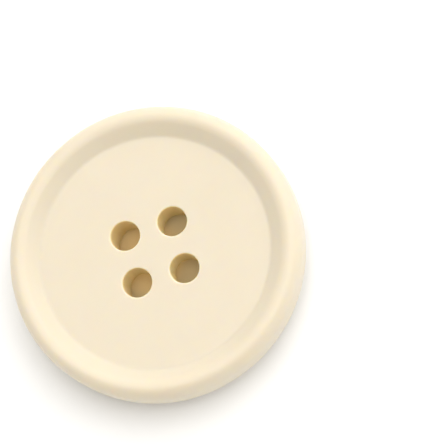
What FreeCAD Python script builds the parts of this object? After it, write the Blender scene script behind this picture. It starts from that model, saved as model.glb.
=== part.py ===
import FreeCAD, Part
import math
import os

# Four-hole sew-on button: one disc of cast resin, turned on both faces.
# Units are millimetres.  The front face looks up along +Z.  The domed back
# touches the plane z = 0 along its crest, and the origin is the centre of
# that plane, on the button's axis.

# ---- driving dimensions ----
OUTER_D = 25.0            # outside diameter of the disc
LEDGE_Z = 1.50            # flat ledge round the back, above the dome's crest
FLOOR_Z = 4.15            # flat floor of the front face
RIM_Z = 5.10              # highest ring of the raised rim

# front: sunken floor, sloping inner side of the rim, rounded rim
FLOOR_R = 9.90            # where the floor would meet the slope
RIM_SLOPE_DEG = 37.0      # inner side of the rim, from the floor's plane
FLOOR_FILLET = 0.50       # hollow between the floor and the slope
CREST_FILLET = 1.20       # rounding from the slope to the crest
RIM_EDGE_H = 1.25         # height of the rounding outside the crest

# edge: upright wall with a softened shoulder under it
SHOULDER_W = 1.05         # the shoulder's rounding, along the radius
SHOULDER_H = 1.00         # the shoulder's rounding, along the height

# back: ledge with a fine turned groove, dome, dished middle
GROOVE_R = 11.22          # middle of the groove
GROOVE_W = 0.25           # width of the groove at the ledge
GROOVE_DEPTH = 0.10       # depth of the groove
DOME_FOOT_R = 10.57       # where the dome would meet the ledge
FOOT_FILLET = 0.40        # hollow between the ledge and the dome
DISH_R = 5.40             # where the dish would meet the plane z = 0
DISH_DEPTH = 1.75         # depth of the dish on the axis
DISH_LIP = 0.70           # rounding of the dish's mouth

# sewing holes, on the corners of a square
HOLE_D = 2.50             # bore of each hole
HOLE_SPACING = 4.16       # between the axes, along the sides of the square
HOLE_FRONT_EDGE = 0.12    # rounding of each hole's mouth in the floor
HOLE_BACK_EDGE = 0.25     # rounding of each hole's mouth in the dish


def pt(r, z):
    """Point of the half section: distance from the axis, then height."""
    return FreeCAD.Vector(r, 0, z)


def line(a, b):
    return Part.LineSegment(a, b).toShape()


def on_circle(centre, radius, angle):
    """Point of a circle in the half section; angle from +r towards +z."""
    r = centre.x + radius * math.cos(angle)
    z = centre.z + radius * math.sin(angle)
    return pt(r, z)


def arc(centre, radius, start, end):
    middle = on_circle(centre, radius, (start + end) / 2.0)
    first = on_circle(centre, radius, start)
    last = on_circle(centre, radius, end)
    return Part.Arc(first, middle, last).toShape()


def quarter_ellipse(centre, half_w, half_h, start):
    """Quarter turn of an ellipse whose axes lie along r and z."""
    def on_ellipse(angle):
        r = centre.x + half_w * math.cos(angle)
        z = centre.z + half_h * math.sin(angle)
        return pt(r, z)
    if half_w > half_h:
        ellipse = Part.Ellipse(on_ellipse(0), on_ellipse(math.pi / 2), centre)
    else:
        ellipse = Part.Ellipse(on_ellipse(math.pi / 2), on_ellipse(math.pi), centre)
    first = ellipse.parameter(on_ellipse(start))
    return Part.ArcOfEllipse(ellipse, first, first + math.pi / 2).toShape()


def front_edges():
    """Half section of the front face, from the axis to the rim's crest."""
    slope = math.radians(RIM_SLOPE_DEG)
    floor_tangent = FLOOR_FILLET * math.tan(slope / 2.0)
    crest_tangent = CREST_FILLET * math.tan(slope / 2.0)
    slope_top_r = FLOOR_R + (RIM_Z - FLOOR_Z) / math.tan(slope)
    crest_r = slope_top_r + crest_tangent

    axis_top = pt(0, FLOOR_Z)
    floor_end = pt(FLOOR_R - floor_tangent, FLOOR_Z)
    hollow_centre = pt(FLOOR_R - floor_tangent, FLOOR_Z + FLOOR_FILLET)
    slope_start = on_circle(hollow_centre, FLOOR_FILLET, slope - math.pi / 2)
    crest_centre = pt(crest_r, RIM_Z - CREST_FILLET)
    slope_end = on_circle(crest_centre, CREST_FILLET, slope + math.pi / 2)
    edges = [
        line(axis_top, floor_end),
        arc(hollow_centre, FLOOR_FILLET, -math.pi / 2, slope - math.pi / 2),
        line(slope_start, slope_end),
        arc(crest_centre, CREST_FILLET, slope + math.pi / 2, math.pi / 2),
    ]
    return edges, axis_top, crest_r


def rim_edges(crest_r):
    """Outside of the disc, from the crest over the wall to the ledge."""
    radius = OUTER_D / 2.0
    rim_centre = pt(crest_r, RIM_Z - RIM_EDGE_H)
    shoulder_centre = pt(radius - SHOULDER_W, LEDGE_Z + SHOULDER_H)
    wall_top = pt(radius, RIM_Z - RIM_EDGE_H)
    wall_bottom = pt(radius, LEDGE_Z + SHOULDER_H)
    edges = [
        quarter_ellipse(rim_centre, radius - crest_r, RIM_EDGE_H, 0),
        line(wall_top, wall_bottom),
        quarter_ellipse(shoulder_centre, SHOULDER_W, SHOULDER_H, -math.pi / 2),
    ]
    return edges


def ledge_edges(foot_r):
    """Ledge on the back, with its fine turned groove."""
    ledge_outer = pt(OUTER_D / 2.0 - SHOULDER_W, LEDGE_Z)
    groove_outer = pt(GROOVE_R + GROOVE_W / 2.0, LEDGE_Z)
    groove_top = pt(GROOVE_R, LEDGE_Z + GROOVE_DEPTH)
    groove_inner = pt(GROOVE_R - GROOVE_W / 2.0, LEDGE_Z)
    ledge_inner = pt(foot_r, LEDGE_Z)
    edges = [
        line(ledge_outer, groove_outer),
        Part.Arc(groove_outer, groove_top, groove_inner).toShape(),
        line(groove_inner, ledge_inner),
    ]
    return edges


def back_edges():
    """Dome and dish, from the end of the ledge to the axis."""
    flat = math.radians(90)

    # the dish is part of a sphere
    sphere_radius = (DISH_R ** 2 + DISH_DEPTH ** 2) / (2.0 * DISH_DEPTH)
    sphere_centre = pt(0, DISH_DEPTH - sphere_radius)
    axis_bottom = pt(0, DISH_DEPTH)

    # the lip's rounding touches the plane z = 0 and the dish
    lip_reach = sphere_radius + DISH_LIP
    lip_rise = DISH_LIP - sphere_centre.z
    crest_r = math.sqrt(lip_reach ** 2 - lip_rise ** 2)
    lip_centre = pt(crest_r, DISH_LIP)
    lip_angle = math.atan2(lip_rise, crest_r)

    # the dome leaves the crest level and rises to the ledge on one arc
    run = DOME_FOOT_R - crest_r
    turn = 2.0 * math.atan2(LEDGE_Z, run)
    dome_radius = run / math.sin(turn)
    dome_centre = pt(crest_r, dome_radius)

    # the foot's hollow touches the ledge and the dome
    foot_z = LEDGE_Z - FOOT_FILLET
    reach = dome_radius + FOOT_FILLET
    drop = dome_radius - foot_z
    foot_r = crest_r + math.sqrt(reach ** 2 - drop ** 2)
    foot_centre = pt(foot_r, foot_z)
    foot_angle = math.atan2(-drop, foot_r - crest_r)

    edges = [
        arc(foot_centre, FOOT_FILLET, flat, foot_angle + math.pi),
        arc(dome_centre, dome_radius, foot_angle, -flat),
        arc(lip_centre, DISH_LIP, -flat, lip_angle - math.pi),
        arc(sphere_centre, sphere_radius, lip_angle, flat),
    ]
    return edges, foot_r, axis_bottom


def make_blank():
    """The turned disc before its holes are drilled."""
    front, axis_top, crest_r = front_edges()
    back, foot_r, axis_bottom = back_edges()
    edges = front + rim_edges(crest_r) + ledge_edges(foot_r) + back
    edges.append(line(axis_bottom, axis_top))
    wire = Part.Wire(Part.__sortEdges__(edges))
    section = Part.Face(wire)
    return section.revolve(pt(0, 0), FreeCAD.Vector(0, 0, 1), 360)


def hole_centres():
    half = HOLE_SPACING / 2.0
    return [(sx * half, sy * half) for sy in (-1, 1) for sx in (-1, 1)]


def round_mouths(body, radius, in_front):
    """Rounds the holes' mouths in the floor or in the dish."""
    mouths = []
    for face in body.Faces:
        if not isinstance(face.Surface, Part.Cylinder):
            continue
        if face.Surface.Radius > HOLE_D:
            continue
        for edge in face.Edges:
            on_floor = edge.BoundBox.ZMin > FLOOR_Z - 0.01
            if on_floor == in_front and not edge.isSeam(face):
                mouths.append(edge)
    return body.makeFillet(radius, mouths)


def drill(blank):
    """Cuts the four holes and rounds their mouths on both faces."""
    body = blank
    for x, y in hole_centres():
        start = FreeCAD.Vector(x, y, -1.0)
        bore = Part.makeCylinder(HOLE_D / 2.0, RIM_Z + 2.0, start)
        body = body.cut(bore)
    body = round_mouths(body, HOLE_BACK_EDGE, False)
    return round_mouths(body, HOLE_FRONT_EDGE, True)


def make_button():
    button = drill(make_blank())
    return button.Solids[0]


os.makedirs("parts", exist_ok=True)
button = make_button()
button.exportStep("parts/button.step")
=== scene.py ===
import math
import bmesh
import bpy
from mathutils import Matrix, Vector


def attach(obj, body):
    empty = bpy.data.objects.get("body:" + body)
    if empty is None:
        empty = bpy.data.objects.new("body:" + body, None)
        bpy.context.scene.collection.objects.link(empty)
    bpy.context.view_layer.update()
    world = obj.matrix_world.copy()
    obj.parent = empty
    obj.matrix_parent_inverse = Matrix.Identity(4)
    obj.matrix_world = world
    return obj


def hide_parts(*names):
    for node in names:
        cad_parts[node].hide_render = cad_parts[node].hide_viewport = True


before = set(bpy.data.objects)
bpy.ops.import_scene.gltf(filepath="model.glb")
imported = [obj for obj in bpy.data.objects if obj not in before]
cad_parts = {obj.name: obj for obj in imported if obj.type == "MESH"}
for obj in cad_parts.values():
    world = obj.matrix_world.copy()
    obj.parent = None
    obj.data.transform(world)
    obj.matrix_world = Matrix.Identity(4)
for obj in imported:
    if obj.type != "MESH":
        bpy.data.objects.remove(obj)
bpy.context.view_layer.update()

# A four-hole sew-on button of cream resin, lying on a pale table with its
# sunken front up.  Shapes are worked out in millimetres and built in metres;
# the button's axis is Z and the crest of its domed back touches z = 0.

MM = 0.001
RIGHT_ANGLE = math.pi / 2.0

# ---- the button, the same sizes as its CAD model ----
OUTER_R = 12.5
LEDGE_Z = 1.50
FLOOR_Z = 4.15
RIM_Z = 5.10
FLOOR_R = 9.90
RIM_SLOPE = math.radians(37.0)
FLOOR_FILLET = 0.50
CREST_FILLET = 1.20
RIM_EDGE_H = 1.25
SHOULDER_W = 1.05
SHOULDER_H = 1.00
GROOVE_R = 11.22
GROOVE_W = 0.25
GROOVE_DEPTH = 0.10
DOME_FOOT_R = 10.57
FOOT_FILLET = 0.40
DISH_R = 5.40
DISH_DEPTH = 1.75
DISH_LIP = 0.70
HOLE_R = 1.25
HOLE_SPACING = 4.16
HOLE_FRONT_EDGE = 0.12
HOLE_BACK_EDGE = 0.25

# dish: part of a sphere about a centre on the axis
DISH_SPHERE = (DISH_R ** 2 + DISH_DEPTH ** 2) / (2.0 * DISH_DEPTH)
DISH_CENTRE_Z = DISH_DEPTH - DISH_SPHERE

# ---- how finely the surface is divided ----
AROUND = 192              # divisions of the outer rings
INNER_R = 4.9             # the drilled middle and the rings meet here
SPOKES = 24               # divisions of each straight side of a quadrant
HOLE_ROWS = 14            # rows between a hole's edge and its quadrant
MOUTH_ROWS = 8            # rows over the rounding of a hole's mouth
WALL_ROWS = 12            # rows down the wall of a hole
MOUTH_SUPPORT = 0.04      # a row this far outside the rounding of a mouth
ROW_SPREAD = 1.15         # above 1, rows are closer together near the hole
RUN_STEP = 0.25           # longest step along the half section
RUN_END = 0.06            # support rows beside the end of a long run
WELD = 0.0006             # points closer than this are one point


def sweep(centre, half_w, half_h, start, end, count):
    """Points of a circle or an ellipse in the half section."""
    pts = []
    for i in range(count + 1):
        a = start + (end - start) * i / count
        r = centre[0] + half_w * math.cos(a)
        z = centre[1] + half_h * math.sin(a)
        pts.append((r, z))
    return pts


def half_section():
    """Outline from the front's floor over the rim to the dish's mouth."""
    right = RIGHT_ANGLE
    floor_end = FLOOR_R - FLOOR_FILLET * math.tan(RIM_SLOPE / 2.0)
    slope_top = FLOOR_R + (RIM_Z - FLOOR_Z) / math.tan(RIM_SLOPE)
    crest_r = slope_top + CREST_FILLET * math.tan(RIM_SLOPE / 2.0)
    edge_w = OUTER_R - crest_r

    pts = [(INNER_R, FLOOR_Z)]
    centre = (floor_end, FLOOR_Z + FLOOR_FILLET)
    pts += sweep(centre, FLOOR_FILLET, FLOOR_FILLET, -right, RIM_SLOPE - right, 10)
    centre = (crest_r, RIM_Z - CREST_FILLET)
    pts += sweep(centre, CREST_FILLET, CREST_FILLET, right + RIM_SLOPE, right, 10)
    centre = (crest_r, RIM_Z - RIM_EDGE_H)
    pts += sweep(centre, edge_w, RIM_EDGE_H, right, 0.0, 20)[1:]
    centre = (OUTER_R - SHOULDER_W, LEDGE_Z + SHOULDER_H)
    pts += sweep(centre, SHOULDER_W, SHOULDER_H, 0.0, -right, 12)

    # the groove is a shallow arc through its two edges and its bottom
    half = GROOVE_W / 2.0
    groove = (half ** 2 + GROOVE_DEPTH ** 2) / (2.0 * GROOVE_DEPTH)
    span = math.asin(half / groove)
    centre = (GROOVE_R, LEDGE_Z + GROOVE_DEPTH - groove)
    pts += sweep(centre, groove, groove, right - span, right + span, 8)

    # lip of the dish, then the dome that leaves it level
    rise = DISH_LIP - DISH_CENTRE_Z
    lip_r = math.sqrt((DISH_SPHERE + DISH_LIP) ** 2 - rise ** 2)
    lip_angle = math.atan2(rise, lip_r)
    run = DOME_FOOT_R - lip_r
    turn = 2.0 * math.atan2(LEDGE_Z, run)
    dome = run / math.sin(turn)
    foot_z = LEDGE_Z - FOOT_FILLET
    drop = dome - foot_z
    foot_r = lip_r + math.sqrt((dome + FOOT_FILLET) ** 2 - drop ** 2)
    foot_angle = math.atan2(-drop, foot_r - lip_r)
    centre = (foot_r, foot_z)
    pts += sweep(centre, FOOT_FILLET, FOOT_FILLET, right, foot_angle + math.pi, 6)
    pts += sweep((lip_r, dome), dome, dome, foot_angle, -right, 30)[1:]
    centre = (lip_r, DISH_LIP)
    pts += sweep(centre, DISH_LIP, DISH_LIP, -right, lip_angle - math.pi, 8)[1:]
    pts.append((INNER_R, dish_z(INNER_R, 0.0)))
    return divided(pts)


def divided(pts):
    """Splits long runs, with a support row close to each of their ends."""
    out = [pts[0]]
    for a, b in zip(pts[:-1], pts[1:]):
        length = math.dist(a, b)
        if length > 2.5 * RUN_END:
            n = max(1, math.ceil((length - 2.0 * RUN_END) / RUN_STEP))
            inner = (length - 2.0 * RUN_END) / length
            for k in range(n + 1):
                t = RUN_END / length + inner * k / n
                out.append((a[0] + (b[0] - a[0]) * t, a[1] + (b[1] - a[1]) * t))
        out.append(b)
    return out


def dish_z(x, y):
    """Height of the dish's surface."""
    flat = DISH_SPHERE ** 2 - x * x - y * y
    return DISH_CENTRE_Z + math.sqrt(max(flat, 0.0))


def add_rings(verts, faces, section):
    """Turned outside of the button: one ring for each point of the section."""
    for r, z in section:
        for j in range(AROUND):
            a = 2.0 * math.pi * j / AROUND
            verts.append((r * math.cos(a), r * math.sin(a), z))
    for i in range(len(section) - 1):
        for j in range(AROUND):
            a = i * AROUND + j
            b = i * AROUND + (j + 1) % AROUND
            faces.append((a, b, b + AROUND, a + AROUND))


def quadrant_outline():
    """One quarter of the middle: its arc, then the two sides on the axes."""
    quarter = AROUND // 4
    loop = []
    for j in range(quarter):
        a = RIGHT_ANGLE * j / quarter
        loop.append((INNER_R * math.cos(a), INNER_R * math.sin(a)))
    for j in range(SPOKES):
        loop.append((0.0, INNER_R * (1.0 - j / SPOKES)))
    for j in range(SPOKES):
        loop.append((INNER_R * j / SPOKES, 0.0))
    return loop


def dish_slope(x, y, ux, uy):
    """Rise of the dish's surface along the direction (ux, uy)."""
    return -(x * ux + y * uy) / (dish_z(x, y) - DISH_CENTRE_Z)


def hole_profile(side, ux, uy, length):
    """Distance from the bore and height, from the bore's end outwards.

    The side is 1 for the floor and -1 for the dish.  The mouth is rounded by a
    circle that touches the bore and the surface.
    """
    c = HOLE_SPACING / 2.0

    def surface(off):
        x = c + ux * (HOLE_R + off)
        y = c + uy * (HOLE_R + off)
        if side > 0:
            return FLOOR_Z, 0.0
        return dish_z(x, y), dish_slope(x, y, ux, uy)

    # where the rounding meets the surface, found in a few rounds
    edge = HOLE_FRONT_EDGE if side > 0 else HOLE_BACK_EDGE
    touch = edge
    for _ in range(8):
        slope = surface(touch)[1]
        touch = edge * (1.0 + slope / math.hypot(1.0, slope))
    height, slope = surface(touch)
    centre_z = height - side * edge / math.hypot(1.0, slope)
    last = math.atan2(-1.0, slope) + 2.0 * math.pi
    pts = []
    for k in range(MOUTH_ROWS + 1):
        a = math.pi + (last - math.pi) * k / MOUTH_ROWS
        pts.append((edge * (1.0 + math.cos(a)), centre_z - side * edge * math.sin(a)))
    start = touch + MOUTH_SUPPORT
    pts.append((start, surface(start)[0]))
    for k in range(1, HOLE_ROWS + 1):
        off = start + (length - start) * (k / HOLE_ROWS) ** ROW_SPREAD
        pts.append((off, surface(off)[0]))
    return pts


def add_drilled_quadrant(verts, faces, turn):
    """Floor, dish and hole wall of one quarter, turned to its place."""
    # rows of points round the hole, on the floor and then in the dish
    loop = quadrant_outline()
    n = len(loop)
    rows = MOUTH_ROWS + 2 + HOLE_ROWS
    c = HOLE_SPACING / 2.0
    ca = math.cos(turn)
    sa = math.sin(turn)
    base = len(verts)
    for side in (1, -1):
        spokes = []
        for bx, by in loop:
            full = math.hypot(bx - c, by - c)
            ux = (bx - c) / full
            uy = (by - c) / full
            spokes.append((ux, uy, hole_profile(side, ux, uy, full - HOLE_R)))
        for row in range(rows):
            for ux, uy, profile in spokes:
                off, z = profile[row]
                x = c + ux * (HOLE_R + off)
                y = c + uy * (HOLE_R + off)
                verts.append((x * ca - y * sa, x * sa + y * ca, z))
    for side in (0, 1):
        for i in range(rows - 1):
            for j in range(n):
                a = base + (side * rows + i) * n + j
                b = base + (side * rows + i) * n + (j + 1) % n
                faces.append((a, b, b + n, a + n))

    # the wall joins the first row of the floor to the first row of the dish
    top = base
    bottom = base + rows * n
    last = [top + j for j in range(n)]
    for w in range(1, WALL_ROWS + 1):
        ring = []
        for j in range(n):
            if w == WALL_ROWS:
                ring.append(bottom + j)
                continue
            t = Vector(verts[top + j])
            b = Vector(verts[bottom + j])
            verts.append(tuple(t.lerp(b, w / WALL_ROWS)))
            ring.append(len(verts) - 1)
        for j in range(n):
            k = (j + 1) % n
            faces.append((last[j], last[k], ring[k], ring[j]))
        last = ring


def make_button():
    verts = []
    faces = []
    add_rings(verts, faces, half_section())
    for q in range(4):
        add_drilled_quadrant(verts, faces, q * RIGHT_ANGLE)
    mesh = bpy.data.meshes.new("sew_on_button")
    mesh.from_pydata([(x * MM, y * MM, z * MM) for x, y, z in verts], [], faces)
    bm = bmesh.new()
    bm.from_mesh(mesh)
    bmesh.ops.remove_doubles(bm, verts=bm.verts, dist=WELD * MM)
    bmesh.ops.recalc_face_normals(bm, faces=bm.faces)
    for face in bm.faces:
        face.smooth = True
    bm.to_mesh(mesh)
    bm.free()
    obj = bpy.data.objects.new("sew_on_button", mesh)
    bpy.context.scene.collection.objects.link(obj)
    return obj


# ---- material ----
RESIN_LIGHT = (0.722, 0.650, 0.520, 1.0)
RESIN_DEEP = (0.702, 0.630, 0.497, 1.0)
HOLE_WALL_GLOW_PAINT = (0.840, 0.690, 0.370, 1.0)       # painted warm glow on the walls of the sewing holes, standing in for light bounced in the hole and passed through the resin
HOLE_WALL_GLOW_FADE = (0.005, 0.05)               # the painted glow ends this far from a bore
CREST_BAND = 0.5                           # height of the shinier top of the rim


def node(tree, kind, **values):
    made = tree.nodes.new(kind)
    for key, value in values.items():
        setattr(made, key, value)
    return made


def resin_material():
    mat = bpy.data.materials.new("cream_resin")
    mat.use_nodes = True
    tree = mat.node_tree
    link = tree.links.new
    shader = tree.nodes["Principled BSDF"]
    shader.inputs["Subsurface Weight"].default_value = 1.0
    shader.inputs["Subsurface Radius"].default_value = (1.0, 0.80, 0.45)
    shader.inputs["Subsurface Scale"].default_value = 0.0006
    shader.inputs["Specular IOR Level"].default_value = 0.4

    coords = node(tree, "ShaderNodeTexCoord")
    place = coords.outputs["Object"]
    parts = node(tree, "ShaderNodeSeparateXYZ")
    link(place, parts.inputs[0])
    flat = node(tree, "ShaderNodeCombineXYZ")
    link(parts.outputs["X"], flat.inputs["X"])
    link(parts.outputs["Y"], flat.inputs["Y"])
    radius = node(tree, "ShaderNodeVectorMath", operation="LENGTH")
    link(flat.outputs[0], radius.inputs[0])

    # faint clouds in the cast resin, a few millimetres across
    clouds = node(tree, "ShaderNodeTexNoise")
    clouds.inputs["Scale"].default_value = 220.0
    clouds.inputs["Detail"].default_value = 3.0
    clouds.inputs["Roughness"].default_value = 0.55
    link(place, clouds.inputs["Vector"])
    tone = node(tree, "ShaderNodeMix", data_type="RGBA")
    tone.inputs["A"].default_value = RESIN_DEEP
    tone.inputs["B"].default_value = RESIN_LIGHT
    link(clouds.outputs["Fac"], tone.inputs["Factor"])

    # painted warm glow on the drilled walls, standing in for light through the resin:
    # within a bore's radius of the nearest hole's axis
    fold = node(tree, "ShaderNodeVectorMath", operation="ABSOLUTE")
    link(flat.outputs[0], fold.inputs[0])
    from_axis = node(tree, "ShaderNodeVectorMath", operation="DISTANCE")
    half = HOLE_SPACING / 2.0 * MM
    from_axis.inputs[1].default_value = (half, half, 0.0)
    link(fold.outputs[0], from_axis.inputs[0])
    hole_glow_mask = node(tree, "ShaderNodeMapRange", clamp=True)
    hole_glow_mask.inputs["From Min"].default_value = (HOLE_R + HOLE_WALL_GLOW_FADE[1]) * MM
    hole_glow_mask.inputs["From Max"].default_value = (HOLE_R + HOLE_WALL_GLOW_FADE[0]) * MM
    link(from_axis.outputs["Value"], hole_glow_mask.inputs["Value"])
    # mix in the painted glow of the hole walls
    colour = node(tree, "ShaderNodeMix", data_type="RGBA")
    colour.inputs["B"].default_value = HOLE_WALL_GLOW_PAINT
    link(hole_glow_mask.outputs[0], colour.inputs["Factor"])
    link(tone.outputs["Result"], colour.inputs["A"])
    link(colour.outputs["Result"], shader.inputs["Base Color"])

    # turning marks left by the lathe, and a fine grain over them
    marks = node(tree, "ShaderNodeTexNoise", noise_dimensions="1D")
    marks.inputs["Scale"].default_value = 5000.0
    marks.inputs["Detail"].default_value = 2.0
    link(radius.outputs["Value"], marks.inputs["W"])
    grain = node(tree, "ShaderNodeTexNoise")
    grain.inputs["Scale"].default_value = 2600.0
    grain.inputs["Detail"].default_value = 4.0
    link(place, grain.inputs["Vector"])
    height = node(tree, "ShaderNodeMath", operation="ADD")
    link(marks.outputs["Fac"], height.inputs[0])
    link(grain.outputs["Fac"], height.inputs[1])
    bump = node(tree, "ShaderNodeBump")
    bump.inputs["Strength"].default_value = 0.5
    bump.inputs["Distance"].default_value = 0.000004
    link(height.outputs[0], bump.inputs["Height"])
    link(bump.outputs["Normal"], shader.inputs["Normal"])

    # satin finish, a little shinier where the rim has been tumbled
    satin = node(tree, "ShaderNodeTexNoise")
    satin.inputs["Scale"].default_value = 700.0
    satin.inputs["Detail"].default_value = 3.0
    link(place, satin.inputs["Vector"])
    uneven = node(tree, "ShaderNodeMapRange")
    uneven.inputs["To Min"].default_value = 0.38
    uneven.inputs["To Max"].default_value = 0.50
    link(satin.outputs["Fac"], uneven.inputs["Value"])
    crest = node(tree, "ShaderNodeMapRange", clamp=True, interpolation_type="SMOOTHSTEP")
    crest.inputs["From Min"].default_value = (RIM_Z - CREST_BAND) * MM
    crest.inputs["From Max"].default_value = RIM_Z * MM
    crest.inputs["To Min"].default_value = 1.0
    crest.inputs["To Max"].default_value = 0.85
    link(parts.outputs["Z"], crest.inputs["Value"])
    rough = node(tree, "ShaderNodeMath", operation="MULTIPLY")
    link(uneven.outputs[0], rough.inputs[0])
    link(crest.outputs[0], rough.inputs[1])
    link(rough.outputs[0], shader.inputs["Roughness"])
    return mat


button = make_button()
button.data.materials.append(resin_material())
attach(button, "root")
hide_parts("button")

# ---- the table: a round pale sweep that turns up far from the button, with painted warm light on the spot under it ----
TABLE_R = 1.32            # metres, the flat part
TABLE_TURN = 0.15         # metres, radius of the turn into the wall
TABLE_WALL = 0.45         # metres, top of the wall
TABLE_AROUND = 96
TABLE_RINGS = 12          # on the flat part
TURN_RINGS = 16
TABLE_WHITE = (0.93, 0.93, 0.93, 1.0)
TABLE_PAINTED_GLOW = (0.88, 0.75, 0.47, 1.0)      # painted warm light on the covered spot under the dish, standing in for light come through the resin
PAINTED_GLOW_R = (4.5, 5.6)                       # full inside the first, gone at the second


def make_table():
    pts = [(TABLE_R * k / TABLE_RINGS, 0.0) for k in range(1, TABLE_RINGS + 1)]
    centre = (TABLE_R, TABLE_TURN)
    pts += sweep(centre, TABLE_TURN, TABLE_TURN, -RIGHT_ANGLE, 0.0, TURN_RINGS)[1:]
    pts.append((TABLE_R + TABLE_TURN, TABLE_WALL))
    verts = [(0.0, 0.0, 0.0)]
    faces = []
    n = TABLE_AROUND
    for r, z in pts:
        for j in range(n):
            a = 2.0 * math.pi * j / n
            verts.append((r * math.cos(a), r * math.sin(a), z))
    for j in range(n):
        faces.append((0, 1 + j, 1 + (j + 1) % n))
    for i in range(len(pts) - 1):
        for j in range(n):
            a = 1 + i * n + j
            b = 1 + i * n + (j + 1) % n
            faces.append((a, a + n, b + n, b))
    mesh = bpy.data.meshes.new("table")
    mesh.from_pydata(verts, [], faces)
    for face in mesh.polygons:
        face.use_smooth = True
    obj = bpy.data.objects.new("table", mesh)
    bpy.context.scene.collection.objects.link(obj)
    mat = bpy.data.materials.new("table_white")
    mat.use_nodes = True
    shader = mat.node_tree.nodes["Principled BSDF"]
    shader.inputs["Roughness"].default_value = 0.9
    shader.inputs["Specular IOR Level"].default_value = 0.1
    # painted warm light on the table under the button
    paint_glow_under_button(mat.node_tree, shader)
    mesh.materials.append(mat)
    return obj


def paint_glow_under_button(tree, shader):
    """Painted warm light on the covered spot, standing in for the light that has come
    through the resin.
    """
    coords = node(tree, "ShaderNodeTexCoord")
    reach = node(tree, "ShaderNodeVectorMath", operation="LENGTH")
    tree.links.new(coords.outputs["Object"], reach.inputs[0])
    glow_spot_mask = node(tree, "ShaderNodeMapRange", clamp=True, interpolation_type="SMOOTHSTEP")
    glow_spot_mask.inputs["From Min"].default_value = PAINTED_GLOW_R[0] * MM
    glow_spot_mask.inputs["From Max"].default_value = PAINTED_GLOW_R[1] * MM
    tree.links.new(reach.outputs["Value"], glow_spot_mask.inputs["Value"])
    colour = node(tree, "ShaderNodeMix", data_type="RGBA")
    colour.inputs["A"].default_value = TABLE_PAINTED_GLOW
    colour.inputs["B"].default_value = TABLE_WHITE
    tree.links.new(glow_spot_mask.outputs[0], colour.inputs["Factor"])
    tree.links.new(colour.outputs["Result"], shader.inputs["Base Color"])


make_table()

# ---- camera: far off with a long lens, 17 degrees from the button's axis ----
CAM_LEAN = math.radians(17.10)    # off the axis
CAM_TURN = math.radians(-61.2)    # round the axis, from +X towards +Y
CAM_ROLL = math.radians(-45.0)    # turn of the picture
CAM_LENS = 241.2                  # for a picture 36 mm wide
CAM_BACK = 250.0                  # from the middle of the front's floor
CAM_RIGHT = 5.78                  # the view passes right of that point
CAM_UP = 2.32                     # and above it


def camera_axes():
    """Right, up and backward directions of the camera."""
    back = Vector((math.sin(CAM_LEAN) * math.cos(CAM_TURN),
                   math.sin(CAM_LEAN) * math.sin(CAM_TURN),
                   math.cos(CAM_LEAN)))
    level = (Vector((0.0, 0.0, 1.0)) - back * back.z).normalized()
    across = level.cross(back)
    up = level * math.cos(CAM_ROLL) - across * math.sin(CAM_ROLL)
    return up.cross(back), up, back


def add_camera():
    right, up, back = camera_axes()
    spot = Vector((0.0, 0.0, FLOOR_Z))
    spot += right * CAM_RIGHT + up * CAM_UP + back * CAM_BACK
    data = bpy.data.cameras.new("camera")
    data.sensor_width = 36.0
    data.lens = CAM_LENS
    data.clip_start = 0.005
    data.clip_end = 10.0
    obj = bpy.data.objects.new("camera", data)
    turn = Matrix((right, up, back)).transposed().to_4x4()
    obj.matrix_world = Matrix.Translation(spot * MM) @ turn
    bpy.context.scene.collection.objects.link(obj)
    bpy.context.scene.camera = obj


# ---- light: an even warm sky, one large soft lamp towards the top of the
# picture and a weak warm one towards its lower left ----
SKY = 0.305
SKY_COLOUR = (1.0, 0.96, 0.88, 1.0)
LAMP_DISTANCE = 1.00                  # metres, both lamps
KEY_AWAY = (0.070, 0.553, 0.830)      # right, up and back from the camera
KEY_SIZE = 2.00
KEY_POWER = 20.7
KEY_COLOUR = (1.0, 1.0, 1.0)
FILL_AWAY = (-0.70, -0.48, 0.53)
FILL_SIZE = 1.17
FILL_POWER = 1.20
FILL_COLOUR = (1.0, 0.93, 0.78)


def add_lights():
    world = bpy.data.worlds.new("sky")
    world.use_nodes = True
    sky = world.node_tree.nodes["Background"]
    sky.inputs["Color"].default_value = SKY_COLOUR
    sky.inputs["Strength"].default_value = SKY
    bpy.context.scene.world = world
    add_lamp("key", KEY_AWAY, KEY_SIZE, KEY_POWER, KEY_COLOUR)
    add_lamp("fill", FILL_AWAY, FILL_SIZE, FILL_POWER, FILL_COLOUR)


def add_lamp(name, direction, size, power, colour):
    """Soft round lamp; its direction is right, up and back from the camera."""
    axes = camera_axes()
    away = sum((a * d for a, d in zip(axes, direction)), Vector()).normalized()
    data = bpy.data.lights.new(name, "AREA")
    data.shape = "DISK"
    data.size = size
    data.energy = power
    data.color = colour
    obj = bpy.data.objects.new(name, data)
    obj.location = away * LAMP_DISTANCE
    obj.rotation_euler = away.to_track_quat("Z", "Y").to_euler()
    obj.visible_camera = False
    bpy.context.scene.collection.objects.link(obj)


# daylight that soaks through the resin into the closed space under the dish:
# a small lamp that faces the table
GLOW_Z = 0.4
GLOW_SIZE = 6.2
GLOW_PLACE = (-1.3, 0.7)
GLOW_POWER = 0.000011
GLOW_COLOUR = (1.0, 0.55, 0.10)


def add_glow():
    data = bpy.data.lights.new("glow", "AREA")
    data.shape = "DISK"
    data.size = GLOW_SIZE * MM
    data.energy = GLOW_POWER
    data.color = GLOW_COLOUR
    obj = bpy.data.objects.new("glow", data)
    obj.location = (GLOW_PLACE[0] * MM, GLOW_PLACE[1] * MM, GLOW_Z * MM)
    obj.visible_camera = False
    bpy.context.scene.collection.objects.link(obj)


add_camera()
add_lights()
add_glow()
bpy.context.scene.view_settings.view_transform = "Standard"
